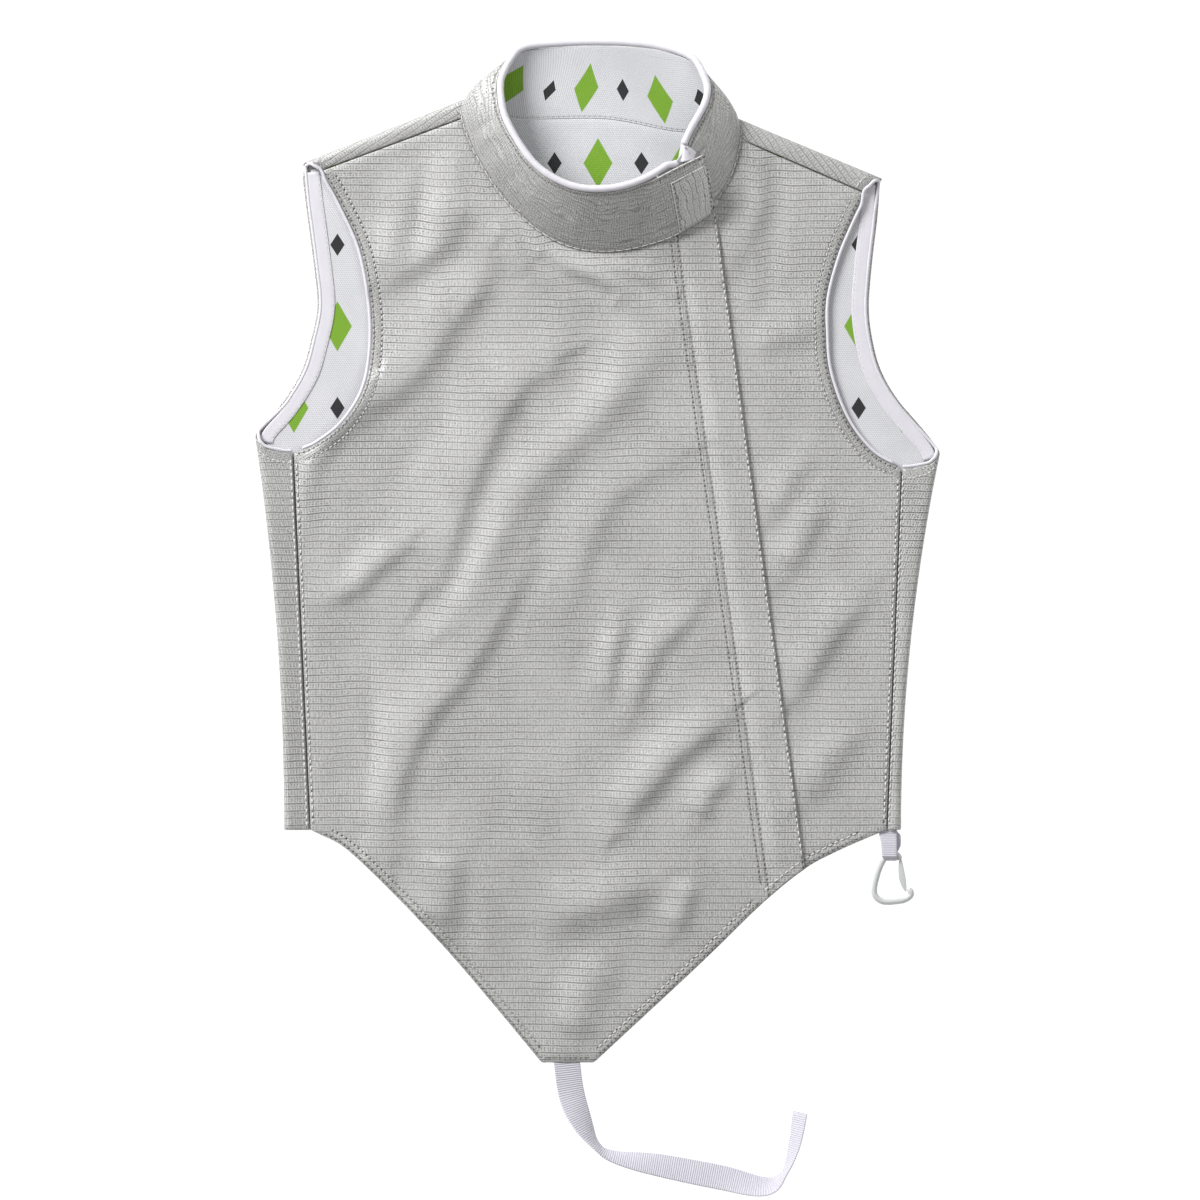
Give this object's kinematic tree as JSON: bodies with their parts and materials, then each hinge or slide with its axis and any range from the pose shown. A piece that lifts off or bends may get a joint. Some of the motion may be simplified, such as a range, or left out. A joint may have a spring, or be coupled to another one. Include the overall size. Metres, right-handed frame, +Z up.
{
  "type": "foil lame",
  "caption": "Sleeveless conductive fencing over-vest laid flat, with a stand collar, an off-centre placket, a pointed apron, a webbing crotch strap and a plastic hook.",
  "frame": {"origin": "on the flat underside of the back panel, where the vest rests, on its centre line at chest level", "axes": "+X the wearer's left, +Y from the crotch strap to the collar, +Z up from the surface, out of the front"},
  "size_m": [0.5202, 0.8797, 0.0467],
  "materials": {
    "lame": "metal-thread cloth with fine dark cross lines",
    "lining": "white twill mesh with a small plain print",
    "binding": "white knit binding and piping",
    "webbing": "white ribbed webbing",
    "plastic": "translucent white moulded plastic"
  },
  "bodies": {
    "garment": {"front_main": "lame", "front_side": "lame", "placket": "lame", "back_panel": "lame", "back_lining": "lining", "collar": "lame", "collar_lining": "lining", "collar_piping": "binding", "collar_tab": "lame", "zip_tape": "binding", "armhole_binding_right": "binding", "armhole_binding_left": "binding", "armhole_piping_right": "binding", "armhole_piping_left": "binding", "crotch_strap": "webbing", "hook_loop": "webbing"},
    "hook": {"hook_frame": "plastic"},
    "gate": {"hook_gate": "plastic"}
  },
  "joints": [
    {"name": "hook_swing", "type": "hinge", "parent": "garment", "child": "hook", "pos_m": [0.224, -0.1843, 0.005], "axis": [-1, 0, 0], "range_deg": [0, 95]},
    {"name": "gate_flex", "type": "hinge", "parent": "hook", "child": "gate", "pos_m": [0.22962, -0.18823, 0.0047], "axis": [0, 0.0769, -0.997], "range_deg": [0, 18], "stiffness_Nm_per_rad": 0.01}
  ]
}
